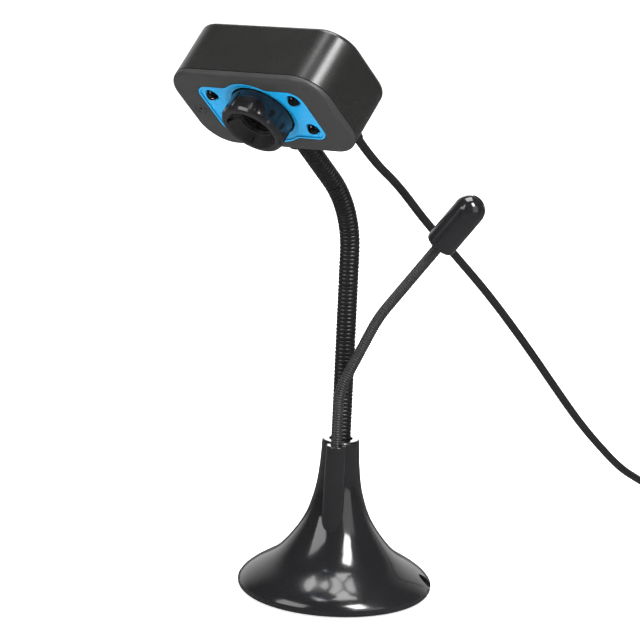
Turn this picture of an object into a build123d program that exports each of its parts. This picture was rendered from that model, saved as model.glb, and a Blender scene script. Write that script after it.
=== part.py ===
# Webcam on a weighted trumpet base: two bendable necks carry the camera head and a small microphone.
# Origin: centre of the base's underside. +Z is up, and the neck leans the head towards -Y.
import os
from math import cos, pi, radians, sin, sqrt, tan

from build123d import *

os.makedirs("parts", exist_ok=True)

# Base (mm)
base_radius = 40.0
base_height = 64.6
collar_radius = 7.7
shell_wall = 2.0
rim_drop = 0.8          # the shell's lower edge stands this far above the floor
pad_radius = 36.0
pad_thickness = 1.0
plate_radius = 37.2
plate_thickness = 2.0
ballast_radius = 24.5
ballast_thickness = 7.5
base_post_circle = 30.0
cable_hole_angle = 37.0
cable_hole_radius = 3.3
cable_hole_height = 5.4

# Main neck (mm, degrees)
neck_radius = 4.1
neck_rise = 78.0        # straight stretch above the collar
neck_bend_radius = 45.0
neck_lean = 44.3
neck_reach = 29.0       # straight stretch between the bend and the head
neck_pivots = [8.0, 30.7, 53.4, 76.1, 98.8, 121.5]   # distances along the neck from the collar

# Microphone neck (mm, degrees)
mic_neck_radius = 2.1
mic_tube_radii = (4.7, 4.1)       # at its foot and at its top
mic_tube_top = 64.0
mic_tube_foot = 20.0
mic_tube_spread = 1.9             # how much further out its foot stands
mic_offset = (4.6, -7.4)
mic_heading = 25.0      # compass direction of its bends, from +X towards +Y
mic_first_corner = 22.6
mic_first_lean = 25.0
mic_second_run = 36.0
mic_second_lean = 36.5
mic_last_run = 39.6
mic_bend_radii = [30.0, 60.0]
mic_pivots = [5.0, 32.0, 59.0, 86.5]
mic_radius = 6.3
mic_length = 26.0
mic_seam = 15.0

# Camera head (mm, degrees), in its own frame: x to the right as one faces the lens, y up, z out of the lens
head_width = 77.4
head_height = 42.9
head_depth = 27.2
head_corner = 13.0
head_wall = 2.0
head_twist = 6.3        # the head's small turn about the neck's top
bezel_depth = 2.6
neck_setback = 8.7      # the neck's axis behind the front face
lamp_x = 20.7
lamp_y = 8.2
lamp_radius = 2.5
boss_radius = 6.2       # round the neck, under the head
boss_length = 4.5
trim_bulge = 17.0
trim_margin = 5.5
trim_thickness = 1.3
ring_radius = 13.2
ring_rib = 0.3
ring_front = 9.0
ring_back = -1.4
ring_gap = 0.25         # between the ring's ribs and the opening in the plate
ring_notch_angle = 148.0
holder_radius = 8.3
barrel_radius = 7.2
barrel_front = 4.2
running_gap = 0.08

# Cord (mm)
cord_radius = 1.75
cord_x = 22.8           # where it leaves the underside of the head, in the head's frame
cord_z = -14.0
relief_length = 8.0
coil_centre = (34.5, 236.0)
coil_outer = 26.25      # middle of the outermost turn
coil_inner = 12.25      # middle of the innermost turn
stub_length = 14.0
plug_lift = 2.45          # the plug's axis above the cord lying on the floor


on_foot = (Align.CENTER, Align.CENTER, Align.MIN)


def save(name, shape):
    """Write one named sub-part and print its volume."""
    export_step(Part() + shape, f"parts/{name}.step")
    print(f"{name:22s} {shape.volume:10.1f} mm3")


def rod(radius, low, high, x=0.0, y=0.0):
    """A cylinder along z from low to high."""
    return Pos(x, y, low) * Cylinder(radius, high - low, align=on_foot)


def taper(foot_radius, top_radius, height):
    """A cone standing on its foot."""
    return Cone(foot_radius, top_radius, height, align=on_foot)


def slab(width, height, corner, low, high):
    """A rounded rectangle extruded from low to high."""
    return Pos(0, 0, low) * extrude(RectangleRounded(width, height, corner), high - low)


# ---------------------------------------------------------------- paths and frames
lean = radians(neck_lean)
bend_tangent = neck_bend_radius * tan(lean / 2)
neck_foot = Vector(0, 0, base_height)
neck_corner = Vector(0, 0, base_height + neck_rise + bend_tangent)
neck_top = neck_corner + Vector(0, -sin(lean), cos(lean)) * (bend_tangent + neck_reach)
neck_path = FilletPolyline(neck_foot, neck_corner, neck_top, radius=neck_bend_radius)
neck_length = neck_path.length
across_neck = Vector(1, 0, 0)

mic_out = Vector(cos(radians(mic_heading)), sin(radians(mic_heading)), 0)
mic_side = Vector(-sin(radians(mic_heading)), cos(radians(mic_heading)), 0)
mic_foot = Vector(mic_offset[0], mic_offset[1], mic_tube_top)


def mic_step(length, angle):
    """A step in the microphone neck's own upright plane, at an angle from the vertical."""
    return mic_out * (length * sin(radians(angle))) + Vector(0, 0, length * cos(radians(angle)))


mic_corner_1 = mic_foot + mic_step(mic_first_corner, 0)
mic_corner_2 = mic_corner_1 + mic_step(mic_second_run, mic_first_lean)
mic_top = mic_corner_2 + mic_step(mic_last_run, mic_second_lean)
mic_path = FilletPolyline(mic_foot, mic_corner_1, mic_corner_2, mic_top, radius=mic_bend_radii)
mic_neck_length = mic_path.length


def frame_at(path, distance, sideways):
    """The plane across a path at a distance from its foot, with x along the sideways direction."""
    point = path.position_at(distance, position_mode=PositionMode.LENGTH)
    along = path.tangent_at(distance, position_mode=PositionMode.LENGTH)
    return Plane(origin=point, x_dir=sideways, z_dir=along)


def tube_along(path, start, end, radius, sideways):
    """A round rod that follows a path between two distances."""
    total = path.length
    piece = path.trim(start / total, end / total)
    return sweep(frame_at(path, start, sideways) * Circle(radius), path=piece)


def neck_link(path, start, end, radius, sideways, cup=True, ball=True):
    """One rigid link of a bendable neck: a socket at its foot, a ball on a stem at its top."""
    ball_radius = 0.79 * radius
    cup_radius = ball_radius + 0.2
    shoulder = 0.62 * radius
    top = end - shoulder if ball else end
    link = tube_along(path, start, top, radius, sideways)
    if ball:
        stem = frame_at(path, end, sideways).location * rod(0.56 * radius, -shoulder - 0.5, 0)
        link += stem + frame_at(path, end, sideways).location * Sphere(ball_radius)
    if cup:
        link -= frame_at(path, start, sideways).location * Sphere(cup_radius)
    return link


head_up = Vector(0, -sin(lean), cos(lean))
head_plain_out = Vector(0, -cos(lean), -sin(lean))
twist = radians(head_twist)
head_out = head_plain_out * cos(twist) + Vector(sin(twist), 0, 0)
head_right = Vector(cos(twist), 0, 0) - head_plain_out * sin(twist)
head_centre = neck_top + head_out * neck_setback + head_up * (head_height / 2)
head = Plane(origin=head_centre, x_dir=head_right, z_dir=head_out)
mic_plane = frame_at(mic_path, mic_neck_length, mic_side)


def in_head(shape):
    """Place a piece drawn in the head's frame."""
    return head.location * shape


def in_mic(shape):
    """Place a piece drawn along the microphone's axis."""
    return mic_plane.location * shape


# ---------------------------------------------------------------- base
rim_points = [(38.9, rim_drop), (base_radius, 2.2), (base_radius, 3.8)]
flank_points = [
    (base_radius, 3.8),
    (37.3, 7.0),
    (32.0, 10.7),
    (25.6, 15.0),
    (19.4, 21.8),
    (13.6, 31.0),
    (10.7, 39.0),
    (9.5, 44.0),
    (8.5, 51.0),
    (7.95, 58.0),
    (collar_radius, base_height),
]


def trumpet(inset, flank, slope):
    """The base's outer form up to the flank's last point, or its hollow when inset by the wall."""
    top_radius, top_height = flank[-1]
    edge = ThreePointArc(*[(r - inset, z) for r, z in rim_points])
    side = Spline(*[(r - inset, z) for r, z in flank], tangents=[(-0.42, 0.9), slope], tangent_scalars=[1, 1])
    top = Line((top_radius - inset, top_height), (0, top_height))
    axis = Line((0, top_height), (0, rim_drop))
    foot = Line((0, rim_drop), (rim_points[0][0] - inset, rim_drop))
    return revolve(Plane.XZ * make_face([edge, side, top, axis, foot]), Axis.Z)


def base_posts(radius, low, high):
    """Three upright rods on the base's screw circle."""
    blanks = []
    for angle in (90, 210, 330):
        x = base_post_circle * cos(radians(angle))
        y = base_post_circle * sin(radians(angle))
        blanks.append(rod(radius, low, high, x, y))
    return blanks


def mic_tube():
    """Slightly conical, leaning tube that holds the microphone's neck."""
    spread = 1 + mic_tube_spread / sqrt(mic_offset[0] ** 2 + mic_offset[1] ** 2)
    foot = Pos(mic_offset[0] * spread, mic_offset[1] * spread, mic_tube_foot) * Circle(mic_tube_radii[0])
    top = Pos(mic_offset[0], mic_offset[1], mic_tube_top) * Circle(mic_tube_radii[1])
    tube = loft([foot, top])
    return fillet(tube.edges().group_by(Axis.Z)[-1], 0.6)


def base_shell():
    outer = trumpet(0, flank_points, (-0.04, 1.0))
    collar_edge = outer.edges().filter_by(GeomType.CIRCLE).sort_by(Axis.Z)[-1]
    outer = fillet(collar_edge, 0.8)
    skirt = flank_points[:8]
    post_limit = trumpet(0.8, skirt, (-0.2, 1.0))
    post_blanks = [post & post_limit for post in base_posts(3.0, 5.0, 20.0)]
    shell = outer - trumpet(shell_wall, skirt, (-0.2, 1.0))
    for post in post_blanks:
        shell += post
    shell += mic_tube()
    shell -= rod(plate_radius + 0.3, rim_drop - 1, 3.2)
    shell -= rod(neck_radius + 0.8, 47, base_height + 1) + rod(2.7, 40, 48)
    shell -= rod(mic_neck_radius + 0.35, 46, mic_tube_top + 1, *mic_offset)
    shell -= rod(1.2, 35, 47, *mic_offset)
    for screw_hole in base_posts(1.1, 3.0, 10.5):
        shell -= screw_hole
    hole = Rot(0, 0, cable_hole_angle) * Pos(base_radius - 6, 0, cable_hole_height) * Rot(0, 90, 0)
    shell -= hole * Cylinder(cable_hole_radius, 24)
    return shell


def base_ballast():
    low = pad_thickness + plate_thickness + 0.2
    weight = rod(ballast_radius, low, low + ballast_thickness) - rod(4.0, low - 1, low + 12)
    return chamfer(weight.edges().group_by(Axis.Z)[-1].sort_by(SortBy.LENGTH)[-1], 1.0)


def base_plate():
    plate = rod(plate_radius, pad_thickness, pad_thickness + plate_thickness)
    for hole in base_posts(1.5, 0, 4):
        plate -= hole
    for sink in base_posts(2.9, pad_thickness - 1, pad_thickness + 1.2):
        plate -= sink
    return plate


def base_screws():
    cross = Box(3.2, 0.6, 2.8) + Box(0.6, 3.2, 2.8)
    heads = base_posts(2.7, pad_thickness + 0.1, pad_thickness + 1.2)
    shanks = base_posts(1.1, pad_thickness + 1.2, 10.0)
    screws = []
    for head_disc, shank in zip(heads, shanks):
        middle = head_disc.center()
        screws.append(head_disc + shank - Pos(middle.X, middle.Y, 0) * cross)
    return screws


def foot_pad():
    pad = rod(pad_radius, 0, pad_thickness)
    return fillet(pad.edges().group_by(Axis.Z)[0], 0.3)


def neck_stud():
    """Fixed foot of the main neck: a stud and flange in the collar, with the first ball above it."""
    first = neck_pivots[0]
    stem = rod(neck_radius, 47.2, base_height) + rod(2.6, 36.0, 47.4)
    link = neck_link(neck_path, 0, first, neck_radius, across_neck, cup=False)
    return stem + link


def hex_nut(across, bore, low, high):
    """A hexagon nut from low to high, across its flats, with a plain bore."""
    hexagon = RegularPolygon(across / 2, 6, major_radius=False)
    return Pos(0, 0, low) * extrude(hexagon, high - low) - rod(bore, low - 1, high + 1)


def mic_stud():
    """Fixed foot of the microphone neck, pressed into its tube on the base."""
    sleeve = rod(mic_neck_radius + 0.3, 46.0, 52.0, *mic_offset)
    core = rod(mic_neck_radius, 51.0, mic_tube_top, *mic_offset)
    link = neck_link(mic_path, 0, mic_pivots[0], mic_neck_radius, mic_side, cup=False)
    return sleeve + core + link


save("base_shell", base_shell())
save("base_ballast", base_ballast())
save("base_plate", base_plate())
save("base_screws", Compound(base_screws()))
save("foot_pad", foot_pad())
save("neck_stud", neck_stud())
save("neck_nut", hex_nut(7.0, 2.6, 38.6, 42.8))
save("mic_stud", mic_stud())

# ---------------------------------------------------------------- necks
for number in range(1, len(neck_pivots)):
    link = neck_link(neck_path, neck_pivots[number - 1], neck_pivots[number], neck_radius, across_neck)
    save(f"neck_link_{number}", link)

for number in range(1, len(mic_pivots)):
    link = neck_link(mic_path, mic_pivots[number - 1], mic_pivots[number], mic_neck_radius, mic_side)
    save(f"mic_link_{number}", link)


# ---------------------------------------------------------------- head, in the head's frame
def head_posts(radius, low, high):
    """Rods at the four screw posts of the head."""
    return [rod(radius, low, high, x, y) for x in (-31.5, 31.5) for y in (-14.0, 14.0)]


def board_posts(radius, low, high):
    """Rods at the main board's four screws."""
    return [rod(radius, low, high, x, y) for x in (-22, 22) for y in (-11, 11)]


def trim_outline(margin):
    """The coloured plate's outline: a rounded oblong round the lamps with a bulge round the lens."""
    oblong = RectangleRounded(2 * (lamp_x + trim_margin - margin), 2 * (lamp_y + trim_margin - margin),
                              trim_margin - margin)
    outline = oblong + Circle(trim_bulge - margin)
    inner = [v for v in outline.vertices() if abs(abs(v.X) - 11) < 3.5 and abs(v.Y) > 10]
    return fillet(inner, 5.0)


def head_slab(inset, low, high):
    """The head's rounded outline, inset and extruded from low to high."""
    return slab(head_width - 2 * inset, head_height - 2 * inset, head_corner - inset, low, high)


def head_front():
    """Front bezel with the plate's recess, lamp holes, the ring's opening and screw posts."""
    face = head_slab(0, -bezel_depth, 0)
    face = fillet(face.edges().group_by(Axis.Z)[-1], 1.7)
    face = chamfer(face.edges().group_by(Axis.Z)[0], 0.25)
    face += head_slab(head_wall + 0.15, -4.6, -bezel_depth) - head_slab(head_wall + 1.65, -5, -bezel_depth)
    for post in head_posts(2.6, -9.0, -bezel_depth):
        face += post
    for pilot in head_posts(0.9, -9.5, -1.8):
        face -= pilot
    face -= extrude(Pos(0, 0, -1.5) * trim_outline(-0.25), 2)
    face -= rod(ring_radius + ring_rib + ring_gap, -5, 1)
    for x in (-lamp_x, lamp_x):
        for y in (-lamp_y, lamp_y):
            face -= rod(lamp_radius + 0.2, -5, 1, x, y)
    face -= rod(0.6, -5, 1, -31.4, 0)
    groove = rod(2.7, -0.25, 1, -31.4, 0) - rod(2.3, -0.5, 2, -31.4, 0)
    groove -= Pos(-31.4, 0, 0) * Box(1.6, 8, 4)
    return face - groove


def head_back():
    """Rear shell: a tub with screw posts, the neck's opening and the cord's opening."""
    tub = head_slab(0, -head_depth, -bezel_depth)
    tub = fillet(tub.edges().group_by(Axis.Z)[0], 2.4)
    tub = chamfer(tub.edges().group_by(Axis.Z)[-1], 0.25)
    tub -= head_slab(head_wall, -head_depth + 2, 0)
    for post in head_posts(2.9, -head_depth + 1.5, -9.2):
        tub += post
    for bore in head_posts(1.3, -head_depth - 1, -9):
        tub -= bore
    for sink in head_posts(2.4, -head_depth - 1, -head_depth + 2.2):
        tub -= sink
    for post in board_posts(2.2, -head_depth + 1.5, -17.0):
        tub += post
    for pilot in board_posts(0.7, -21.5, -16.5):
        tub -= pilot
    down = Rot(90, 0, 0)
    tub -= Pos(0, -head_height / 2, -neck_setback) * down * Cylinder(neck_radius + 0.1, 8)
    tub -= Pos(cord_x, -head_height / 2, cord_z) * down * Cylinder(2.6, 8)
    return tub


def head_screws():
    cross = Box(2.6, 0.5, 1.6) + Box(0.5, 2.6, 1.6)
    heads = head_posts(2.2, -head_depth + 0.8, -head_depth + 2.2)
    shanks = head_posts(0.9, -head_depth + 2.0, -3.4)
    screws = []
    for head_disc, shank in zip(heads, shanks):
        middle = head_disc.center()
        screws.append(head_disc + shank - Pos(middle.X, middle.Y, -head_depth + 0.8) * cross)
    return screws


def trim_plate():
    """Coloured plate: a thin raised lip round a sunk field, dished towards the ring."""
    plate = extrude(Pos(0, 0, -1.5) * trim_outline(0), trim_thickness + 0.15)
    plate -= extrude(Pos(0, 0, -0.6) * trim_outline(0.7), 2)
    plate -= Pos(0, 0, -1.15) * taper(ring_radius + 1.0, trim_bulge - 1.2, 0.56)
    plate -= rod(ring_radius + ring_rib + ring_gap, -3, 2)
    for x in (-lamp_x, lamp_x):
        for y in (-lamp_y, lamp_y):
            plate -= rod(lamp_radius + 0.2, -3, 2, x, y)
            plate -= Pos(x, y, -1.05) * taper(lamp_radius + 0.2, lamp_radius + 0.65, 0.5)
    return plate


def lamp(x, y):
    dome = Sphere(lamp_radius) & Pos(0, 0, 2) * Box(8, 8, 4)
    body = rod(lamp_radius, -5.6, -1.2, x, y) + Pos(x, y, -1.2) * dome
    return body + rod(lamp_radius + 0.4, -6.4, -5.4, x, y)


def lamp_board():
    return slab(56, 27, 3, -8.0, -6.4) - rod(holder_radius + 0.7, -9, -5)


def main_board():
    board = slab(54, 30, 2, -17.0, -15.8)
    for hole in board_posts(1.1, -18, -15):
        board -= hole
    return board


def board_screws():
    heads = board_posts(1.8, -15.8, -14.6)
    shanks = board_posts(0.7, -21.0, -15.8)
    return [head_disc + shank for head_disc, shank in zip(heads, shanks)]


def lens_holder():
    """Square-footed sleeve that the barrel screws into and the focus ring turns on."""
    foot = slab(20, 20, 2, -15.8, -12.8) - slab(12, 12, 1, -16, -13.8) - rod(5.5, -14, -12)
    sleeve = rod(holder_radius, -12.8, 3.4) - rod(barrel_radius + running_gap, -12.0, 4)
    sleeve -= rod(5.5, -13, -11.9)
    return foot + sleeve


def lens_barrel():
    """Threaded-look barrel with stepped light baffles and seats for two lenses."""
    barrel = rod(barrel_radius, -10.5, barrel_front) - rod(4.6, -11, 5) - rod(5.4, -11, -7.5)
    for step in range(7):
        floor = -5.2 + step * 1.3
        bore = 5.0 + 0.18 * step
        barrel -= rod(bore + 0.55, floor, floor + 0.6) + rod(bore, floor, barrel_front + 1)
    return barrel - rod(5.2, -7.05, -5.1)


def lens_disc(radius, low, thick, bulge):
    """A lens with a domed front."""
    ball = (radius ** 2 + bulge ** 2) / (2 * bulge)
    top = low + thick
    dome = Pos(0, 0, top + bulge - ball) * Sphere(ball) & rod(radius, top - 0.01, top + bulge + 1)
    return rod(radius, low, top) + dome


def focus_ring():
    """Focus ring: a grip with fine ribs, a flat front and a notched cone, bonded to the barrel's front."""
    bore = holder_radius + running_gap
    outline = [
        (bore, ring_back),
        (ring_radius - 0.4, ring_back),
        (ring_radius, ring_back + 0.4),
        (ring_radius, ring_front - 1.5),
        (ring_radius - 0.5, ring_front - 0.4),
        (ring_radius - 1.3, ring_front),
        (10.4, ring_front),
        (9.9, ring_front - 0.5),
        (7.5, 5.2),
        (6.9, 4.8),
        (6.9, barrel_front),
        (bore, barrel_front),
    ]
    ring = revolve(Plane.XZ * make_face(Polyline(*outline, close=True)), Axis.Z)
    for rib in range(8):
        bar = Pos(ring_radius + ring_rib / 2 - 0.2, 0, 4.0) * Box(ring_rib + 0.4, 0.6, 6.4)
        ring += Rot(0, 0, 45 * rib + 12) * bar
    for half_turn in (0, 180):
        wide = Rot(0, 0, ring_notch_angle + half_turn)
        thin = Rot(0, 0, ring_notch_angle + 90 + half_turn)
        ring -= wide * Pos(9.0, 0, ring_front - 0.9) * Box(2.6, 2.6, 3.2)
        ring -= thin * Pos(8.9, 0, ring_front - 1.1) * Box(1.8, 0.5, 3.2)
    return ring


def neck_collar():
    """Rounded boss under the head, round the top of the neck."""
    collar = rod(boss_radius, 0, boss_length)
    collar = fillet(collar.edges().group_by(Axis.Z)[0], 1.6)
    return collar - rod(neck_radius + 0.1, -1, boss_length + 1)


def cord_relief():
    """Tapered grommet where the cord leaves the head, with a flange held inside the wall."""
    inside = relief_length + head_wall + 0.1
    relief = taper(2.3, 3.3, relief_length) + rod(2.5, relief_length, inside)
    return relief + rod(3.8, inside, inside + 1.3)


save("head_front", in_head(head_front()))
save("head_back", in_head(head_back()))
save("head_screws", in_head(Compound(head_screws())))
save("trim_plate", in_head(trim_plate()))
lamp_number = 0
for lamp_side in (-1, 1):
    for lamp_level in (-1, 1):
        lamp_number += 1
        save(f"lamp_{lamp_number}", in_head(lamp(lamp_side * lamp_x, lamp_level * lamp_y)))
save("lamp_board", in_head(lamp_board()))
save("main_board", in_head(main_board()))
save("board_screws", in_head(Compound(board_screws())))
save("image_sensor", in_head(Pos(0, 0, -15.3) * Box(8, 8, 1.0)))
save("status_lamp", in_head(rod(0.55, -6.3, -0.4, -31.4, 0) + rod(1.2, -6.3, -3.2, -31.4, 0)))
save("lens_holder", in_head(lens_holder()))
save("lens_barrel", in_head(lens_barrel()))
save("front_lens", in_head(lens_disc(5.15, -7.0, 1.0, 0.7)))
save("rear_lens", in_head(lens_disc(5.35, -10.3, 2.0, 0.8)))
save("focus_ring", in_head(focus_ring()))

neck_end = frame_at(neck_path, neck_length, across_neck)
neck_ferrule = neck_link(neck_path, neck_pivots[-1], neck_length, neck_radius, across_neck, ball=False)
neck_ferrule += neck_end.location * (rod(neck_radius, -0.5, 3.0) + rod(2.35, 2.5, 7.5))
save("neck_ferrule", neck_ferrule)
save("neck_collar", (neck_end.location * Pos(0, 0, -boss_length)) * neck_collar())
save("ferrule_nut", neck_end.location * Rot(0, 0, 30) * hex_nut(7.0, 2.4, 3.2, 6.4))

relief_tip = head.from_local_coords((cord_x, -head_height / 2 - relief_length, cord_z))
relief_frame = Plane(origin=relief_tip, x_dir=head_right, z_dir=head_up)
save("cord_relief", relief_frame.location * cord_relief())


# ---------------------------------------------------------------- microphone, along its own axis
def mic_housing():
    body = rod(mic_radius, 0, mic_seam)
    body = fillet(body.edges().group_by(Axis.Z)[0], 1.8)
    body -= rod(mic_radius - 1.4, 1.8, mic_seam + 1)
    return body - rod(mic_neck_radius + 0.35, -1, 3)


def mic_cap():
    """Domed cap with a slot for the sound at its tip."""
    inner = mic_radius - 1.4
    waist = mic_length - mic_radius
    tube = rod(mic_radius, mic_seam, waist) + Pos(0, 0, waist) * Sphere(mic_radius)
    tube &= rod(mic_radius + 1, mic_seam, mic_length + 1)
    tube -= rod(inner, mic_seam - 1, waist) + Pos(0, 0, waist) * Sphere(inner)
    tongue = rod(inner - 0.05, mic_seam - 1.6, mic_seam) + rod(inner + 0.02, mic_seam, mic_seam + 1)
    tube += tongue - rod(inner - 0.8, mic_seam - 2, mic_seam + 2)
    return tube - Pos(0, 0, mic_length) * Box(1.5, 5.2, 6)


def mic_holder():
    return rod(4.7, 16.4, 20.4) - rod(3.05, 16, 21)


mic_ferrule = neck_link(mic_path, mic_pivots[-1], mic_neck_length, mic_neck_radius, mic_side, ball=False)
mic_ferrule += in_mic(rod(mic_neck_radius, -0.5, 2.0) + rod(3.4, 1.8, 3.4))
save("mic_ferrule", mic_ferrule)
save("mic_housing", in_mic(mic_housing()))
save("mic_cap", in_mic(mic_cap()))
save("mic_holder", in_mic(mic_holder()))
save("mic_element", in_mic(rod(3.0, 16.6, 20.6)))

# ---------------------------------------------------------------- cord, coil and plug
coil_x, coil_y = coil_centre
layer_low = cord_radius
layer_high = 3 * cord_radius
coil_start = Vector(coil_x - coil_outer, coil_y, layer_high)
coil_end = Vector(coil_x + coil_outer, coil_y, layer_low)
cord_exit = relief_frame.origin
cord_points = [
    cord_exit,
    cord_exit - head_up * 14.0,
    Vector(21.8, 3.0, 173.6),
    Vector(19.6, 22.3, 156.6),
    Vector(20.3, 41.7, 139.8),
    Vector(18.6, 68.1, 118.1),
    Vector(19.8, 94.4, 91.4),
    Vector(19.9, 113.1, 71.9),
    Vector(18.6, 134.2, 51.8),
    Vector(17.3, 153.2, 36.3),
    Vector(15.0, 169.6, 24.6),
    Vector(11.8, 186.6, 15.8),
    Vector(9.8, 198.5, 9.9),
    coil_start - Vector(0, stub_length + 11, 0),
    coil_start - Vector(0, stub_length, 0),
]
tail_points = [
    coil_end - Vector(0, stub_length, 0),
    coil_end - Vector(0, stub_length + 10, 0),
    coil_end - Vector(-1.6, stub_length + 21, -plug_lift),
    coil_end - Vector(-1.6, stub_length + 31, -plug_lift),
]


def corner_radii(points):
    """The largest arc that each corner's two runs allow."""
    radii = []
    for before, here, after in zip(points, points[1:], points[2:]):
        turn = radians((here - before).get_angle(after - here))
        shorter = min((here - before).length, (after - here).length)
        radii.append(0.45 * shorter / tan(turn / 2))
    return radii


def cord_tube(points):
    """A round cord along straight runs joined by tangent arcs."""
    radii = corner_radii(points)
    route = FilletPolyline(*points, radius=radii)
    start = Plane(origin=points[0], z_dir=points[1] - points[0])
    tube = sweep(start * Circle(cord_radius), path=route)
    expected = pi * cord_radius ** 2 * route.length
    print("corner radii", [round(r, 1) for r in radii])
    print(f"route {route.length:.1f} mm, volume {tube.volume:.1f}, section times length {expected:.1f}")
    return tube


def cord_coil():
    """Outer form of the wound cord: a ring two turns high, with a stub where the cord joins and leaves."""
    ring = rod(coil_outer + cord_radius, 0, 4 * cord_radius) - rod(coil_inner - cord_radius, -1, 9)
    ring = fillet(ring.edges().filter_by(GeomType.CIRCLE), 1.2)
    ring = Pos(coil_x, coil_y, 0) * ring
    stub = Rot(90, 0, 0) * rod(cord_radius - 0.05, 0, stub_length)
    return ring + Pos(*coil_start) * stub + Pos(*coil_end) * stub - coil_tie()


def coil_tie():
    """Twist tie round the coil on the side away from the base."""
    across = coil_outer - coil_inner + 2 * cord_radius
    tall = 4 * cord_radius + 0.7
    band = Box(across + 1.2, 4.0, tall) - Box(across - 0.1, 6.0, tall - 1.2)
    middle = (coil_outer + coil_inner) / 2
    return Pos(coil_x, coil_y + middle, tall / 2) * Rot(0, 0, 90) * band


plug_frame = Plane(origin=tail_points[-1], x_dir=(1, 0, 0), z_dir=(0, -1, 0))


def plug_grip():
    grip = Pos(0, 0, 7) * extrude(RectangleRounded(13.0, 8.0, 2.4), 20)
    grip = fillet(grip.edges().group_by(Axis.Z)[0] + grip.edges().group_by(Axis.Z)[-1], 0.8)
    return grip + taper(2.2, 3.2, 7.4)


def plug_shield():
    shield = Pos(0, 0, 27) * extrude(RectangleRounded(12.0, 4.5, 0.5), 12)
    shield -= Pos(0, 0, 27.5) * extrude(RectangleRounded(11.4, 3.9, 0.3), 12)
    for x in (-3, 3):
        shield -= Pos(x, 2.2, 33) * Box(2.2, 1.4, 2.2)
    return shield


def plug_tongue():
    return Pos(0, 1.0, 27.5) * extrude(RectangleRounded(11.0, 1.8, 0.3), 11)


save("usb_cord", cord_tube(cord_points))
save("usb_cord_tail", cord_tube(tail_points))
save("cord_coil", cord_coil())
save("coil_tie", coil_tie())
save("plug_grip", plug_frame.location * plug_grip())
save("plug_shield", plug_frame.location * plug_shield())
save("plug_tongue", plug_frame.location * plug_tongue())

# ---------------------------------------------------------------- joint places for the record
for number, distance in enumerate(neck_pivots, 1):
    place = frame_at(neck_path, distance, across_neck)
    print("neck pivot", number, place.origin, "along", place.z_dir, "across", place.y_dir)
for number, distance in enumerate(mic_pivots, 1):
    place = frame_at(mic_path, distance, mic_side)
    print("mic pivot", number, place.origin, "side", mic_side, "across", place.y_dir)
print("head centre", head.origin, "out", head.z_dir, "up", head.y_dir, "right", head.x_dir)
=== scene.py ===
import bpy
import bmesh
from math import cos, pi, radians, sin
from mathutils import Matrix, Vector


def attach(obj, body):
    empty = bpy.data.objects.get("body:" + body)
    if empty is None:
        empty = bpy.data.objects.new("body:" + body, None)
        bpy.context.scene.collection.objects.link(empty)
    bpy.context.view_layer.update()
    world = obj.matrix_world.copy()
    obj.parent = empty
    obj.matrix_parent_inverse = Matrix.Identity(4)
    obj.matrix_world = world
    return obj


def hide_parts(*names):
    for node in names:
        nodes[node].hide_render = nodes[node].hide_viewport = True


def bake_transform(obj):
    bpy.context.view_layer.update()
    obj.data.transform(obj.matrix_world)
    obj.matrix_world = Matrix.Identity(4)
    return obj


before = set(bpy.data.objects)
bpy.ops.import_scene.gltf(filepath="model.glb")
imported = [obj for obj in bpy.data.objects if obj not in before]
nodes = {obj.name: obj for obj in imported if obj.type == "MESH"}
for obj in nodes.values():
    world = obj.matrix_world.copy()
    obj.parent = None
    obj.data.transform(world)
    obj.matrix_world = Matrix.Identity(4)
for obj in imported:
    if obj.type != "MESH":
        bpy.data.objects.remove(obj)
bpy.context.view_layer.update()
millimetre = 0.001
colourA, colourB, colourOut = 6, 7, 2  # the colour sockets of a Mix node

# ---- camera, first of all

cameraValues = {
    "azimuth": 43.77, "elevation": 13.41, "roll": 2.57,  # degrees
    "distance": 1.1639, "lens": 157.5, "sensor": 36, "nearest": 0.05,
    "aim": (-0.0256, 0.0112, 0.1078),
}


def makeCamera():
    v = cameraValues
    a, e, r = radians(v["azimuth"]), radians(v["elevation"]), radians(v["roll"])
    back = Vector((sin(a) * cos(e), -cos(a) * cos(e), sin(e)))
    side = Vector((cos(a), sin(a), 0))
    up = back.cross(side)
    right = side * cos(r) + up * sin(r)
    top = up * cos(r) - side * sin(r)
    data = bpy.data.cameras.new("studioCamera")
    data.lens = v["lens"]
    data.sensor_width = v["sensor"]
    data.clip_start = v["nearest"]
    camera = bpy.data.objects.new("studioCamera", data)
    bpy.context.scene.collection.objects.link(camera)
    place = Matrix((right, top, back)).transposed().to_4x4()
    place.translation = Vector(v["aim"]) + back * v["distance"]
    camera.matrix_world = place
    bpy.context.scene.camera = camera


makeCamera()
print("camera done")


# ---- small helpers

def linkObject(name, data):
    piece = bpy.data.objects.new(name, data)
    bpy.context.scene.collection.objects.link(piece)
    return piece


def setMaterial(piece, material):
    piece.data.materials.clear()
    piece.data.materials.append(material)


def evaluated(piece):  # the finished shape as one plain mesh
    depsgraph = bpy.context.evaluated_depsgraph_get()
    return bpy.data.meshes.new_from_object(piece.evaluated_get(depsgraph), depsgraph=depsgraph)


def cleanMesh(mesh, merge=1e-7):
    work = bmesh.new()
    work.from_mesh(mesh)
    bmesh.ops.remove_doubles(work, verts=work.verts, dist=merge)
    bmesh.ops.recalc_face_normals(work, faces=work.faces)
    work.to_mesh(mesh)
    work.free()


# ---- shared shader groups

def newGroup(name, inputs, outputs):
    tree = bpy.data.node_groups.new(name, "ShaderNodeTree")
    for label, kind, default in inputs:
        socket = tree.interface.new_socket(label, in_out="INPUT", socket_type=kind)
        if default is not None:
            socket.default_value = default
    for label, kind in outputs:
        tree.interface.new_socket(label, in_out="OUTPUT", socket_type=kind)
    return tree, tree.nodes.new("NodeGroupInput"), tree.nodes.new("NodeGroupOutput")


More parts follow.
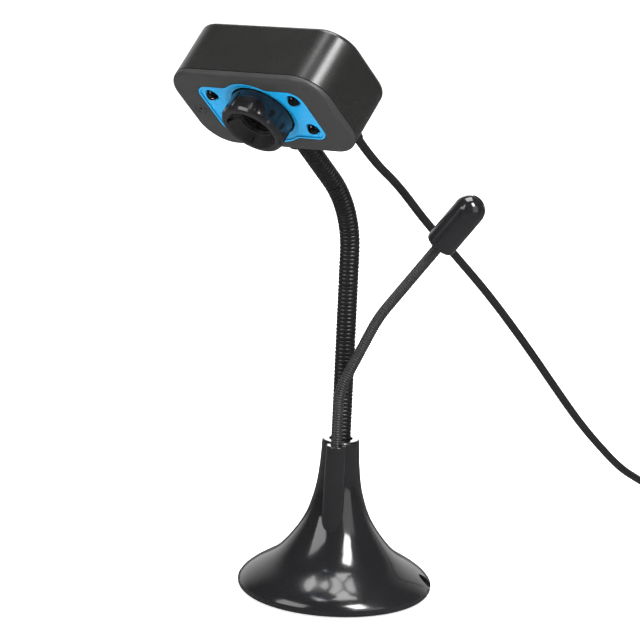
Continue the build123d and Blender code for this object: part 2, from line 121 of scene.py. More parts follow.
def addNode(tree, kind, inputs=None, **settings):
    node = tree.nodes.new(kind)
    for key, value in settings.items():
        setattr(node, key, value)
    for key, value in (inputs or {}).items():
        if isinstance(value, bpy.types.NodeSocket):
            tree.links.new(value, node.inputs[key])
        else:
            node.inputs[key].default_value = value
    return node


def buildSkinGroup():  # slow patches of tint and gloss, as handling and moulding leave them
    tree, inlet, outlet = newGroup(
        "moulded skin",
        [("Vector", "NodeSocketVector", None), ("Color", "NodeSocketColor", (0.1, 0.1, 0.1, 1)),
         ("Tint", "NodeSocketColor", (0.2, 0.2, 0.2, 1)), ("Scale", "NodeSocketFloat", 60.0),
         ("Rough Low", "NodeSocketFloat", 0.3), ("Rough High", "NodeSocketFloat", 0.5)],
        [("Color", "NodeSocketColor"), ("Roughness", "NodeSocketFloat")])
    patches = addNode(tree, "ShaderNodeTexNoise", {
        "Vector": inlet.outputs["Vector"], "Scale": inlet.outputs["Scale"], "Detail": 4.0, "Roughness": 0.6})
    spread = addNode(tree, "ShaderNodeMapRange", {
        "Value": patches.outputs["Fac"], "From Min": 0.35, "From Max": 0.7,
        "To Min": inlet.outputs["Rough Low"], "To Max": inlet.outputs["Rough High"]})
    blend = addNode(tree, "ShaderNodeMix", data_type="RGBA")
    tree.links.new(patches.outputs["Fac"], blend.inputs["Factor"])
    tree.links.new(inlet.outputs["Color"], blend.inputs[colourA])
    tree.links.new(inlet.outputs["Tint"], blend.inputs[colourB])
    tree.links.new(blend.outputs[colourOut], outlet.inputs["Color"])
    tree.links.new(spread.outputs["Result"], outlet.inputs["Roughness"])
    return tree


def buildGrainGroup():  # fine moulded or brushed texture, as a height
    tree, inlet, outlet = newGroup(
        "fine grain",
        [("Vector", "NodeSocketVector", None), ("Scale", "NodeSocketFloat", 2000.0),
         ("Stretch", "NodeSocketVector", (1, 1, 1)), ("Slow Scale", "NodeSocketFloat", 150.0),
         ("Coarse", "NodeSocketFloat", 0.3)],
        [("Height", "NodeSocketFloat")])
    pulled = addNode(tree, "ShaderNodeVectorMath", {0: inlet.outputs["Vector"], 1: inlet.outputs["Stretch"]},
                     operation="MULTIPLY")
    fine = addNode(tree, "ShaderNodeTexNoise", {
        "Vector": pulled.outputs[0], "Scale": inlet.outputs["Scale"], "Detail": 3.0})
    slow = addNode(tree, "ShaderNodeTexNoise", {
        "Vector": pulled.outputs[0], "Scale": inlet.outputs["Slow Scale"], "Detail": 2.0})
    share = addNode(tree, "ShaderNodeMath", {0: slow.outputs["Fac"], 1: inlet.outputs["Coarse"]},
                    operation="MULTIPLY")
    total = addNode(tree, "ShaderNodeMath", {0: fine.outputs["Fac"], 1: share.outputs[0]}, operation="ADD")
    tree.links.new(total.outputs[0], outlet.inputs["Height"])
    return tree


def buildDustGroup():  # sparse pale flecks
    tree, inlet, outlet = newGroup(
        "dust flecks",
        [("Vector", "NodeSocketVector", None), ("Color", "NodeSocketColor", (0.1, 0.1, 0.1, 1)),
         ("Dust", "NodeSocketColor", (0.5, 0.5, 0.48, 1)), ("Scale", "NodeSocketFloat", 700.0),
         ("Amount", "NodeSocketFloat", 0.1)],
        [("Color", "NodeSocketColor")])
    cells = addNode(tree, "ShaderNodeTexVoronoi", {
        "Vector": inlet.outputs["Vector"], "Scale": inlet.outputs["Scale"]})
    dots = addNode(tree, "ShaderNodeMapRange", {
        "Value": cells.outputs["Distance"], "From Min": 0.10, "From Max": 0.02,
        "To Min": 0.0, "To Max": inlet.outputs["Amount"]})
    blend = addNode(tree, "ShaderNodeMix", data_type="RGBA")
    tree.links.new(dots.outputs["Result"], blend.inputs["Factor"])
    tree.links.new(inlet.outputs["Color"], blend.inputs[colourA])
    tree.links.new(inlet.outputs["Dust"], blend.inputs[colourB])
    tree.links.new(blend.outputs[colourOut], outlet.inputs["Color"])
    return tree


skinGroup = buildSkinGroup()
grainGroup = buildGrainGroup()
dustGroup = buildDustGroup()


def rgba(colour):
    return (*colour, 1.0)


def skinned(name, v):  # a material with the moulded skin group placed in it
    material = bpy.data.materials.new(name)
    material.use_nodes = True
    tree = material.node_tree
    place = addNode(tree, "ShaderNodeTexCoord").outputs["Object"]
    skin = addNode(tree, "ShaderNodeGroup", node_tree=skinGroup)
    skin.inputs["Color"].default_value = rgba(v["colour"])
    skin.inputs["Tint"].default_value = rgba(v["tint"])
    skin.inputs["Scale"].default_value = v["patch"]
    skin.inputs["Rough Low"].default_value, skin.inputs["Rough High"].default_value = v["rough"]
    tree.links.new(place, skin.inputs["Vector"])
    return material, tree, tree.nodes["Principled BSDF"], place, skin


def makeFinish(name, v):  # one moulded, painted or metal finish from its dictionary
    material, tree, shader, place, skin = skinned(name, v)
    tone = skin.outputs["Color"]
    if v.get("dust"):
        dust = addNode(tree, "ShaderNodeGroup", node_tree=dustGroup)
        dust.inputs["Amount"].default_value = v["dust"]
        tree.links.new(place, dust.inputs["Vector"])
        tree.links.new(tone, dust.inputs["Color"])
        tone = dust.outputs["Color"]
    tree.links.new(tone, shader.inputs["Base Color"])
    tree.links.new(skin.outputs["Roughness"], shader.inputs["Roughness"])
    grain = addNode(tree, "ShaderNodeGroup", node_tree=grainGroup)
    grain.inputs["Scale"].default_value = v["grain"]
    grain.inputs["Stretch"].default_value = v.get("stretch", (1, 1, 1))
    tree.links.new(place, grain.inputs["Vector"])
    bump = addNode(tree, "ShaderNodeBump", {"Height": grain.outputs["Height"], "Strength": v["relief"],
                                            "Distance": v.get("depth", 0.00005)})
    tree.links.new(bump.outputs["Normal"], shader.inputs["Normal"])
    shader.inputs["Metallic"].default_value = v.get("metallic", 0.0)
    shader.inputs["Coat Weight"].default_value = v.get("coat", 0.0)
    shader.inputs["Coat Roughness"].default_value = 0.05
    return material


finishValues = {
    "glossBlack": {"colour": (0.008, 0.008, 0.009), "tint": (0.014, 0.014, 0.015), "rough": (0.10, 0.20),
                   "patch": 35.0, "grain": 900.0, "relief": 0.05, "dust": 0.04, "coat": 0.3},
    "satinBlack": {"colour": (0.012, 0.0117, 0.0113), "tint": (0.017, 0.0167, 0.016), "rough": (0.24, 0.30),
                   "patch": 40.0, "grain": 2600.0, "relief": 0.12, "dust": 0.04},
    "bezelGrey": {"colour": (0.026, 0.027, 0.026), "tint": (0.035, 0.036, 0.035), "rough": (0.42, 0.52),
                  "patch": 50.0, "grain": 3200.0, "relief": 0.45},
    "trimBlue": {"colour": (0.006, 0.24, 0.50), "tint": (0.010, 0.28, 0.56), "rough": (0.22, 0.30),
                 "patch": 90.0, "grain": 1500.0, "relief": 0.12, "coat": 0.5},
    "neckBlack": {"colour": (0.004, 0.004, 0.004), "tint": (0.008, 0.008, 0.0075), "rough": (0.28, 0.38),
                  "patch": 200.0, "grain": 2600.0, "relief": 0.3},
    "zincSteel": {"colour": (0.52, 0.52, 0.50), "tint": (0.64, 0.64, 0.64), "rough": (0.26, 0.42),
                  "patch": 300.0, "grain": 1800.0, "relief": 0.25, "metallic": 1.0},
    "castSteel": {"colour": (0.16, 0.155, 0.15), "tint": (0.24, 0.22, 0.20), "rough": (0.5, 0.75),
                  "patch": 120.0, "grain": 900.0, "relief": 0.7, "metallic": 0.8},
    "foamBlack": {"colour": (0.018, 0.018, 0.018), "tint": (0.032, 0.032, 0.031), "rough": (0.8, 0.95),
                  "patch": 150.0, "grain": 1800.0, "relief": 0.8, "depth": 0.0002},
    "boardGreen": {"colour": (0.010, 0.09, 0.035), "tint": (0.02, 0.14, 0.05), "rough": (0.25, 0.4),
                   "patch": 400.0, "grain": 1200.0, "relief": 0.3},
    "cordBlack": {"colour": (0.006, 0.006, 0.006), "tint": (0.011, 0.011, 0.011), "rough": (0.34, 0.46),
                  "patch": 90.0, "grain": 2400.0, "relief": 0.25, "dust": 0.05},
    "plugSteel": {"colour": (0.62, 0.62, 0.62), "tint": (0.72, 0.72, 0.72), "rough": (0.16, 0.28),
                  "patch": 250.0, "grain": 2600.0, "stretch": (0.1, 1, 1), "relief": 0.15, "metallic": 1.0},
    "tongueWhite": {"colour": (0.70, 0.70, 0.68), "tint": (0.78, 0.78, 0.76), "rough": (0.4, 0.5),
                    "patch": 200.0, "grain": 2600.0, "relief": 0.2},
    "micNeckBlack": {"colour": (0.016, 0.016, 0.016), "tint": (0.026, 0.026, 0.025), "rough": (0.34, 0.46),
                     "patch": 200.0, "grain": 2600.0, "relief": 0.2},
    "sensorDark": {"colour": (0.02, 0.02, 0.035), "tint": (0.04, 0.03, 0.06), "rough": (0.08, 0.16),
                   "patch": 300.0, "grain": 2600.0, "relief": 0.1, "coat": 0.5},
    "micCan": {"colour": (0.55, 0.55, 0.56), "tint": (0.62, 0.62, 0.63), "rough": (0.3, 0.4),
               "patch": 300.0, "grain": 2600.0, "relief": 0.2, "metallic": 1.0},
}
finish = {name: makeFinish(name, values) for name, values in finishValues.items()}


def makeClear(name, v):  # glass or clear epoxy
    material, tree, shader, place, skin = skinned(name, v)
    tree.links.new(skin.outputs["Color"], shader.inputs["Base Color"])
    tree.links.new(skin.outputs["Roughness"], shader.inputs["Roughness"])
    shader.inputs["Transmission Weight"].default_value = 1.0
    shader.inputs["IOR"].default_value = v["ior"]
    return material


clearValues = {
    "lensGlass": {"colour": (0.72, 0.78, 0.92), "tint": (0.6768, 0.7332, 0.8648), "rough": (0.0, 0.02),
                  "patch": 500.0, "ior": 1.52},
    "lampClear": {"colour": (0.92, 0.94, 0.95), "tint": (0.8648, 0.8836, 0.893), "rough": (0.02, 0.06),
                  "patch": 500.0, "ior": 1.5},
}
for name, values in clearValues.items():
    finish[name] = makeClear(name, values)
print("materials done")

# ---- the cord: the same route as the CAD cord, its wound coil and its tail

cordValues = {
    "diameter": 0.0035, "length": 1.38,
    "coilCentre": (0.0345, 0.236), "coilOuter": 0.02625, "coilInner": 0.01225,
    "turnsPerLayer": 4, "pointsPerTurn": 16, "smooth": 8, "round": 5,
}
cordRoute = [
    (0.02208, -0.02190, 0.19449), (0.02208, -0.01212, 0.18447), (0.0218, 0.0030, 0.1736),
    (0.0196, 0.0223, 0.1566), (0.0203, 0.0417, 0.1398), (0.0186, 0.0681, 0.1181), (0.0198, 0.0944, 0.0914),
    (0.0199, 0.1131, 0.0719), (0.0186, 0.1342, 0.0518), (0.0173, 0.1532, 0.0363), (0.0150, 0.1696, 0.0246),
    (0.0118, 0.1866, 0.0158), (0.0098, 0.1985, 0.0099), (0.00825, 0.2110, 0.00525), (0.00825, 0.2220, 0.00525),
]
tailRoute = [
    (0.06075, 0.2220, 0.00175), (0.06075, 0.2120, 0.00175), (0.06235, 0.2010, 0.0042), (0.06235, 0.1910, 0.0042),
]


def coilPoints():  # clockwise: four turns inwards on top, half a turn down, four turns outwards below
    v = cordValues
    points = []
    total = 2 * v["turnsPerLayer"] + 0.5
    count = int(total * v["pointsPerTurn"])
    swell = 1 / cos(pi / v["pointsPerTurn"])  # the curve runs inside its control points
    top, low = 1.5 * v["diameter"], 0.5 * v["diameter"]
    for i in range(1, count):
        turn = total * i / count
        inward = min(turn, v["turnsPerLayer"], total - turn) / v["turnsPerLayer"]
        drop = min(max((turn - v["turnsPerLayer"]) / 0.5, 0), 1)
        radius = (v["coilOuter"] + (v["coilInner"] - v["coilOuter"]) * inward) * swell
        angle = pi - 2 * pi * turn
        points.append((v["coilCentre"][0] + radius * cos(angle), v["coilCentre"][1] + radius * sin(angle),
                       top + (low - top) * drop))
    return points


def makeCord():
    v = cordValues
    data = bpy.data.curves.new("usbCord", "CURVE")
    data.dimensions = "3D"
    spline = data.splines.new("NURBS")
    points = cordRoute + coilPoints() + tailRoute
    spline.points.add(len(points) - 1)
    for point, place in zip(spline.points, points):
        point.co = (*place, 1.0)
    spline.order_u = 3
    spline.use_endpoint_u = True
    spline.resolution_u = v["smooth"]
    data.bevel_depth = v["diameter"] / 2
    data.bevel_resolution = v["round"]
    data.use_fill_caps = True
    cord = linkObject("usbCord", data)
    setMaterial(cord, finish["cordBlack"])
    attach(cord, "head")
    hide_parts("usb_cord", "usb_cord_tail", "cord_coil")


makeCord()
print("cord done")


# ---- floor and lights

stageValues = {
    "floor": (0.93, 0.93, 0.93), "floorSize": 6.0, "floorGlow": 0.80, "floorInGloss": (0.10, 0.10, 0.10),
    "floorRough": 0.6, "room": 0.35, "backdrop": 1.0,
    "roomInGloss": 0.06, "sweepInGloss": 0.9, "sweepSide": (-0.69, 0.72, 0.0),
    "sweepFrom": 0.45, "sweepFull": 0.9,
}
lightValues = {  # place, aim, width, height and watts
    "keyLight": ((-0.25, -1.05, 0.75), (0, 0, 0.11), 0.7, 0.7, 6.0),
    "fillLight": ((1.15, -0.05, 0.45), (0, 0, 0.11), 0.8, 0.8, 2.6),
    "rimLight": ((-0.7, 0.75, 0.55), (0, 0, 0.11), 0.6, 0.6, 4.0),
    "topLight": ((-0.08, 0.05, 1.05), (0, 0, 0.11), 0.55, 0.55, 7.5),
    "cornerLight": ((0.75, -0.12, 1.0), (0, -0.04, 0.2), 0.3, 0.5, 12.0),
}


def makeStage():
    v = stageValues
    half = v["floorSize"] / 2
    floorMesh = bpy.data.meshes.new("studioFloor")
    corners = [(-half, -half, 0), (half, -half, 0), (half, half, 0), (-half, half, 0)]
    floorMesh.from_pydata(corners, [], [(0, 1, 2, 3)])
    floor = linkObject("studioFloor", floorMesh)
    material = bpy.data.materials.new("paleFloor")
    material.use_nodes = True
    shader = material.node_tree.nodes["Principled BSDF"]
    shader.inputs["Base Color"].default_value = rgba(v["floor"])
    shader.inputs["Roughness"].default_value = v["floorRough"]
    tree = material.node_tree
    glow = addNode(tree, "ShaderNodeEmission", {"Color": (1, 1, 1, 1), "Strength": v["floorGlow"]})
    lit = addNode(tree, "ShaderNodeAddShader", {0: shader.outputs[0], 1: glow.outputs[0]})
    dim = addNode(tree, "ShaderNodeBsdfDiffuse", {"Color": rgba(v["floorInGloss"])})
    ray = addNode(tree, "ShaderNodeLightPath")
    share = addNode(tree, "ShaderNodeMixShader", {0: ray.outputs["Is Glossy Ray"], 1: lit.outputs[0],
                                                  2: dim.outputs[0]})
    tree.links.new(share.outputs[0], tree.nodes["Material Output"].inputs["Surface"])
    setMaterial(floor, material)


def makeLight(name, place, aim, width, height, watts):
    data = bpy.data.lights.new(name, "AREA")
    data.shape = "RECTANGLE"
    data.size = width
    data.size_y = height
    data.energy = watts
    lamp = linkObject(name, data)
    lamp.location = place
    lamp.rotation_euler = (Vector(aim) - Vector(place)).to_track_quat("-Z", "Y").to_euler()


def makeWorld():
    v = stageValues
    world = bpy.data.worlds.new("studio")
    bpy.context.scene.world = world
    world.use_nodes = True
    tree = world.node_tree
    tree.nodes["Background"].inputs["Color"].default_value = (1, 1, 1, 1)
    tree.nodes["Background"].inputs["Strength"].default_value = v["room"]
    # in gloss the room is dim, but for the white sweep behind the object
    direction = addNode(tree, "ShaderNodeTexCoord").outputs["Generated"]
    towards = addNode(tree, "ShaderNodeVectorMath", {0: direction, 1: v["sweepSide"]}, operation="DOT_PRODUCT")
    sweep = addNode(tree, "ShaderNodeMapRange", {
        "Value": towards.outputs["Value"], "From Min": v["sweepFrom"], "From Max": v["sweepFull"],
        "To Min": v["roomInGloss"], "To Max": v["sweepInGloss"]}, interpolation_type="SMOOTHSTEP")
    gloss = addNode(tree, "ShaderNodeBackground", {"Color": (1, 1, 1, 1), "Strength": sweep.outputs["Result"]})
    seen = addNode(tree, "ShaderNodeBackground", {"Color": (1, 1, 1, 1), "Strength": v["backdrop"]})
    ray = addNode(tree, "ShaderNodeLightPath")
    share = addNode(tree, "ShaderNodeMixShader", {0: ray.outputs["Is Glossy Ray"],
                                                  1: tree.nodes["Background"].outputs[0], 2: gloss.outputs[0]})
    final = addNode(tree, "ShaderNodeMixShader", {0: ray.outputs["Is Camera Ray"], 1: share.outputs[0],
                                                  2: seen.outputs[0]})
    tree.links.new(final.outputs[0], tree.nodes["World Output"].inputs["Surface"])


makeStage()
for name, row in lightValues.items():
    makeLight(name, *row)
makeWorld()
bpy.context.scene.view_settings.view_transform = "Standard"
print("stage done")

# ---- the two necks, bendable goosenecks on the object, wound by one geometry tree as fixed sections


def buildWindingTree():
    tree = bpy.data.node_groups.new("wound neck", "GeometryNodeTree")
    for label, kind in (("Geometry", "NodeSocketGeometry"), ("Radius", "NodeSocketFloat"),
                        ("Pitch", "NodeSocketFloat"), ("Groove", "NodeSocketFloat"), ("Slant", "NodeSocketFloat"),
                        ("Start", "NodeSocketFloat"), ("Sides", "NodeSocketInt"), ("Step", "NodeSocketFloat"),
                        ("Material", "NodeSocketMaterial")):
        tree.interface.new_socket(label, in_out="INPUT", socket_type=kind)
    tree.interface.new_socket("Geometry", in_out="OUTPUT", socket_type="NodeSocketGeometry")
    inlet, outlet = tree.nodes.new("NodeGroupInput"), tree.nodes.new("NodeGroupOutput")
    value = inlet.outputs
    line = addNode(tree, "GeometryNodeResampleCurve", {"Curve": value["Geometry"], "Length": value["Step"]},
                   mode="LENGTH")
    along = addNode(tree, "GeometryNodeSplineParameter")
    keepLength = addNode(tree, "GeometryNodeCaptureAttribute")
    keepLength.capture_items.new("FLOAT", "along")
    tree.links.new(line.outputs["Curve"], keepLength.inputs["Geometry"])
    tree.links.new(along.outputs["Length"], keepLength.inputs["along"])
    ringLine = addNode(tree, "GeometryNodeCurvePrimitiveCircle", {"Resolution": value["Sides"],
                                                                  "Radius": value["Radius"]})
    around = addNode(tree, "GeometryNodeSplineParameter")
    keepAngle = addNode(tree, "GeometryNodeCaptureAttribute")
    keepAngle.capture_items.new("FLOAT", "around")
    tree.links.new(ringLine.outputs["Curve"], keepAngle.inputs["Geometry"])
    tree.links.new(around.outputs["Factor"], keepAngle.inputs["around"])
    tube = addNode(tree, "GeometryNodeCurveToMesh", {"Curve": keepLength.outputs["Geometry"],
                                                     "Profile Curve": keepAngle.outputs["Geometry"],
                                                     "Fill Caps": True})
    # where each point lies within its rib, from 0 to 1
    place = addNode(tree, "ShaderNodeMath", {0: keepLength.outputs["along"], 1: value["Start"]}, operation="ADD")
    ribs = addNode(tree, "ShaderNodeMath", {0: place.outputs[0], 1: value["Pitch"]}, operation="DIVIDE")
    slant = addNode(tree, "ShaderNodeMath", {
        0: keepAngle.outputs["around"], 1: value["Slant"], 2: ribs.outputs[0]}, operation="MULTIPLY_ADD")
    phase = addNode(tree, "ShaderNodeMath", {0: slant.outputs[0]}, operation="FRACT")
    centred = addNode(tree, "ShaderNodeMath", {0: phase.outputs[0], 1: 2.0, 2: -1.0}, operation="MULTIPLY_ADD")
    squared = addNode(tree, "ShaderNodeMath", {0: centred.outputs[0], 1: centred.outputs[0]},
                      operation="MULTIPLY")
    rest = addNode(tree, "ShaderNodeMath", {0: 1.0, 1: squared.outputs[0]}, operation="SUBTRACT")
    crown = addNode(tree, "ShaderNodeMath", {0: rest.outputs[0]}, operation="SQRT")
    below = addNode(tree, "ShaderNodeMath", {0: crown.outputs[0], 1: 1.0}, operation="SUBTRACT")
    depth = addNode(tree, "ShaderNodeMath", {0: below.outputs[0], 1: value["Groove"]}, operation="MULTIPLY")
    normal = addNode(tree, "GeometryNodeInputNormal")
    push = addNode(tree, "ShaderNodeVectorMath", {0: normal.outputs[0], "Scale": depth.outputs[0]},
                   operation="SCALE")
    moved = addNode(tree, "GeometryNodeSetPosition", {
        "Geometry": tube.outputs["Mesh"], "Offset": push.outputs[0]})
    real = addNode(tree, "GeometryNodeRealizeInstances", {"Geometry": moved.outputs["Geometry"]})
    painted = addNode(tree, "GeometryNodeSetMaterial", {"Geometry": real.outputs["Geometry"],
                                                        "Material": value["Material"]})
    tree.links.new(painted.outputs["Geometry"], outlet.inputs["Geometry"])
    return tree


windingTree = buildWindingTree()


def lineCurve(name, points):
    data = bpy.data.curves.new(name, "CURVE")
    data.dimensions = "3D"
    spline = data.splines.new("POLY")
    spline.points.add(len(points) - 1)
    for point, place in zip(spline.points, points):
        point.co = (*place, 1.0)
    return linkObject(name, data)


def applyTree(piece, tree, inputs, name):  # keeps what the geometry tree makes as a plain mesh
    modifier = piece.modifiers.new("shape", "NODES")
    modifier.node_group = tree
    for item in tree.interface.items_tree:
        if item.item_type == "SOCKET" and item.in_out == "INPUT" and item.name in inputs:
            modifier[item.identifier] = inputs[item.name]
    piece.update_tag()
    bpy.context.view_layer.update()
    mesh = evaluated(piece)
    mesh.name = name
    bpy.data.objects.remove(piece)
    return linkObject(name, mesh)


lineStep = 0.0006  # between the points of a neck's centre line


def woundPiece(name, pathAt, start, end, v, material):
    steps = max(2, int((end - start) / lineStep))
    points = [pathAt(start + (end - start) * i / steps) for i in range(steps + 1)]
    line = lineCurve(name + "Line", points)
    piece = applyTree(line, windingTree, {
        "Radius": v["radius"], "Pitch": v["pitch"], "Groove": v["groove"], "Slant": v["slant"],
        "Start": start - v["phase"], "Sides": v["sides"], "Step": v["step"], "Material": material}, name)
    cleanMesh(piece.data)
    piece.data.shade_smooth()
    return piece


def makeNeck(name, v, pathAt, material):  # one wound section between each pair of borders, in place of the CAD links it hides
    for i, stands in enumerate(v["standsFor"]):
        piece = woundPiece(f"{name}{i + 1}", pathAt, v["borders"][i], v["borders"][i + 1], v, material)
        start, end = v["bends"][i]
        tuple(pathAt(start))
        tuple(pathAt(end))
        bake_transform(piece)
        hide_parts(*stands)


mainNeckValues = {
    "radius": 0.0041, "pitch": 0.0227 / 14, "groove": 0.00045, "slant": 0.0, "phase": 0.01935, "sides": 40,
    "step": 0.000158, "foot": 0.0646, "rise": 0.0780, "bend": 0.045, "lean": 44.3,
    "bodies": ["base", "neck_1", "neck_2", "neck_3", "neck_4", "neck_5", "head"],
    "standsFor": [["neck_stud", "neck_link_1"], ["neck_link_2"], ["neck_link_3"], ["neck_link_4"],
                  ["neck_link_5"], ["neck_ferrule"]],
    "borders": [-0.0090, 0.01935, 0.04205, 0.06475, 0.08745, 0.11015, 0.1400],
    "bends": [(0.0, 0.016), (0.01935, 0.04205), (0.04205, 0.06475), (0.06475, 0.08745), (0.08745, 0.11015),
              (0.1125, 0.1305)],
}


def mainNeckAt(s):  # a straight rise, an arc towards -Y, a straight reach
    v = mainNeckValues
    lean = radians(v["lean"])
    arc = v["bend"] * lean
    if s <= v["rise"]:
        return Vector((0, 0, v["foot"] + s))
    turned = min((s - v["rise"]) / v["bend"], lean)
    point = Vector((0, -v["bend"] * (1 - cos(turned)), v["foot"] + v["rise"] + v["bend"] * sin(turned)))
    return point + Vector((0, -sin(lean), cos(lean))) * max(0, s - v["rise"] - arc)


makeNeck("mainNeck", mainNeckValues, mainNeckAt, finish["neckBlack"])

micNeckValues = {
    "radius": 0.00225, "pitch": 0.00105, "groove": 0.00046, "slant": 1.0, "phase": 0.0, "sides": 28,
    "step": 0.0000975,
    "foot": (0.0046, -0.0074, 0.064), "heading": 25.0, "leans": (25.0, 36.5), "runs": (0.0226, 0.036, 0.0396),
    "radii": (0.030, 0.060),
    "bodies": ["base", "mic_neck_1", "mic_neck_2", "mic_neck_3", "mic"],
    "standsFor": [["mic_stud", "mic_link_1"], ["mic_link_2"], ["mic_link_3"], ["mic_ferrule"]],
    "borders": [-0.0120, 0.0185, 0.0455, 0.07275, 0.1000],
    "bends": [(0.0, 0.010), (0.0185, 0.0455), (0.0455, 0.07275), (0.0765, 0.0965)],
}


def micNeckAt(s):  # three straight runs joined by two arcs, in one upright plane
    v = micNeckValues
    heading = radians(v["heading"])
    out = Vector((cos(heading), sin(heading), 0))
    leans = [0.0] + [radians(a) for a in v["leans"]]
    halves = [(leans[i + 1] - leans[i]) / 2 for i in (0, 1)]
    cuts = [radius * sin(half) / cos(half) for radius, half in zip(v["radii"], halves)]
    straights = [v["runs"][0] - cuts[0], v["runs"][1] - cuts[0] - cuts[1], v["runs"][2] - cuts[1]]
    x, z, left = 0.0, 0.0, s
    for i in range(3):
        run = left if i == 2 or left < straights[i] else straights[i]
        x += run * sin(leans[i])
        z += run * cos(leans[i])
        left -= run
        if i == 2 or left <= 0:
            break
        arc = v["radii"][i] * (leans[i + 1] - leans[i])
        turned = min(left, arc) / v["radii"][i]
        x += v["radii"][i] * (cos(leans[i]) - cos(leans[i] + turned))
        z += v["radii"][i] * (sin(leans[i] + turned) - sin(leans[i]))
        left -= min(left, arc)
        if left <= 0:
            break
    return Vector(v["foot"]) + out * x + Vector((0, 0, z))


makeNeck("micNeck", micNeckValues, micNeckAt, finish["micNeckBlack"])

threadValues = {
    "pitch": 0.0008, "groove": 0.00025, "slant": 1.0, "phase": 0.01935, "sides": 24, "step": 0.0001,
    "footRadius": 0.0026, "footFrom": 0.0360, "footTo": 0.0560,  # heights above the floor
    "topRadius": 0.00235, "topFrom": 0.1385, "topTo": 0.1492,  # distances along the neck
}


def makeThread(name, end, pathAt, body, node):
    v = dict(threadValues, radius=threadValues[end + "Radius"])
    thread = woundPiece(name, pathAt, v[end + "From"], v[end + "To"], v, finish["zincSteel"])
    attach(thread, body)
    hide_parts(node)


# the threaded ends that the nuts grip, in the base and in the head
makeThread("neckFootThread", "foot", lambda s: Vector((0, 0, s)), "base", "neck_stud")
makeThread("neckTopThread", "top", mainNeckAt, "head", "neck_ferrule")
print("necks done")

# ---- inside the lamps and on the boards, in the head's own frame

headValues = {
    "centre": (0.000954689, -0.0542178, 0.204096), "out": (0.109734, -0.711371, -0.694198),
    "up": (0.0, -0.698415, 0.715693),
    "lampX": 0.0207, "lampY": 0.0082,
    "cupRadius": 0.00105, "cupDepth": 0.0007, "cupTop": -0.0024, "dieThick": 0.00016, "sides": 20,
    "legRadius": 0.00028, "legFoot": -0.0062, "legNeck": 0.0012, "cupFoot": 0.0009,
    "plate": (0.0004, 0.0013, 0.0030), "plateX": 0.00145, "plateDrop": 0.0016,
    "edge": 0.00008, "sharp": 35,
}
outward, upward = Vector(headValues["out"]), Vector(headValues["up"])
headPlace = Matrix((upward.cross(outward), upward, outward)).transposed().to_4x4()
headPlace.translation = Vector(headValues["centre"])


def lathe(work, profile, place, sides):  # spin (radius, height) pairs about the z of place
    turns = [(cos(2 * pi * i / sides), sin(2 * pi * i / sides)) for i in range(sides)]
    rings = []
    for radius, height in profile:
        rings.append([work.verts.new(place @ Vector((radius * x, radius * y, height))) for x, y in turns])
    for low, high in zip(rings, rings[1:]):
        for i in range(sides):
            work.faces.new((low[i], low[(i + 1) % sides], high[(i + 1) % sides], high[i]))
    work.faces.new(list(reversed(rings[0])))
    work.faces.new(rings[-1])


def brick(work, size, place):
    made = bmesh.ops.create_cube(work, size=1.0, matrix=place @ Matrix.Diagonal((*size, 1.0)))
    edges = {edge for vert in made["verts"] for edge in vert.link_edges}
    bmesh.ops.bevel(work, geom=list(edges), offset=headValues["edge"], segments=2, affect="EDGES", profile=0.5)


def finishPiece(name, work, material, body):
    mesh = bpy.data.meshes.new(name)
    bmesh.ops.recalc_face_normals(work, faces=work.faces)
    work.to_mesh(mesh)
    work.free()
    piece = linkObject(name, mesh)
    mesh.shade_smooth()
    mesh.set_sharp_from_angle(angle=radians(headValues["sharp"]))
    setMaterial(piece, material)
    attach(piece, body)


def makeLampInsides():  # a reflector cup with its die, and the second leg, in each clear lamp
    v = headValues
    work = bmesh.new()
    leg, r, top = v["legRadius"], v["cupRadius"], v["cupTop"]
    pit = top - v["cupDepth"]
    cup = [(leg, v["legFoot"]), (leg, top - v["legNeck"]), (r * 0.75, top - v["cupFoot"]), (r, top),
           (r * 0.86, top), (r * 0.45, pit), (r * 0.4, pit + v["dieThick"])]
    for x in (-v["lampX"], v["lampX"]):
        for y in (-v["lampY"], v["lampY"]):
            place = headPlace @ Matrix.Translation((x, y, 0))
            lathe(work, cup, place, v["sides"])
            brick(work, v["plate"], place @ Matrix.Translation((v["plateX"], 0, top - v["plateDrop"])))
    finishPiece("lampInsides", work, finish["zincSteel"], "head")


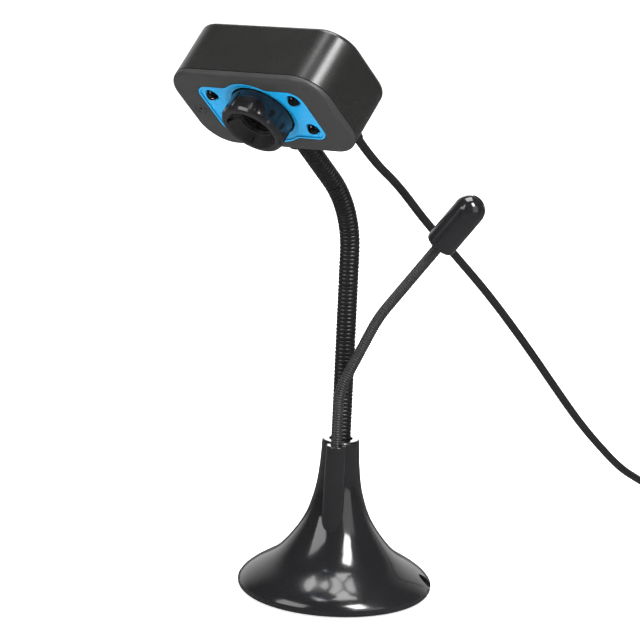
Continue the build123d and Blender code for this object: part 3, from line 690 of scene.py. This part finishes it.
boardValues = {
    "chips": [  # x, y, wide, tall, thick, and the board's face it stands on, in millimetres
        (-13, 5, 7, 7, 0.9, -15.8), (-14, -7, 5, 4, 0.8, -15.8), (14, 6, 4, 3, 1.1, -15.8),
        (15, -4, 3, 5, 1.0, -15.8), (-19, 0, 1.6, 3.2, 0.6, -15.8), (18, -10, 2.4, 1.2, 0.6, -15.8),
        (-8, -12, 2.4, 1.2, 0.6, -15.8), (24, 1, 1.6, 3.2, 0.6, -6.4), (-24, -3, 1.6, 3.2, 0.6, -6.4),
        (13, 10.5, 3.2, 1.6, 0.6, -6.4),
        (-13, -10.5, 3.2, 1.6, 0.6, -6.4),
    ],
}


def makeBoardParts():
    work = bmesh.new()
    for x, y, wide, tall, thick, face in boardValues["chips"]:
        size = (wide * millimetre, tall * millimetre, thick * millimetre)
        centre = Vector((x, y, face + thick / 2)) * millimetre
        brick(work, size, headPlace @ Matrix.Translation(centre))
    finishPiece("boardParts", work, finish["satinBlack"], "head")


makeLampInsides()
makeBoardParts()
print("head insides done")

# ---- finishes of the CAD parts that stay

partFinish = {
    "glossBlack": ["base_shell", "focus_ring", "mic_housing", "mic_cap"],
    "satinBlack": ["base_plate", "head_back", "neck_collar", "lens_holder", "lens_barrel", "coil_tie"],
    "bezelGrey": ["head_front"],
    "trimBlue": ["trim_plate"],
    "zincSteel": ["base_screws", "neck_nut", "head_screws", "board_screws", "ferrule_nut"],
    "castSteel": ["base_ballast"],
    "foamBlack": ["foot_pad", "mic_holder"],
    "boardGreen": ["lamp_board", "main_board"],
    "lampClear": ["lamp_1", "lamp_2", "lamp_3", "lamp_4", "status_lamp"],
    "lensGlass": ["front_lens", "rear_lens"],
    "cordBlack": ["cord_relief", "plug_grip"],
    "plugSteel": ["plug_shield"],
    "tongueWhite": ["plug_tongue"],
    "micCan": ["mic_element"],
    "sensorDark": ["image_sensor"],
}


def paintParts():
    for name, parts in partFinish.items():
        for part in parts:
            setMaterial(nodes[part], finish[name])


paintParts()
print("parts painted")
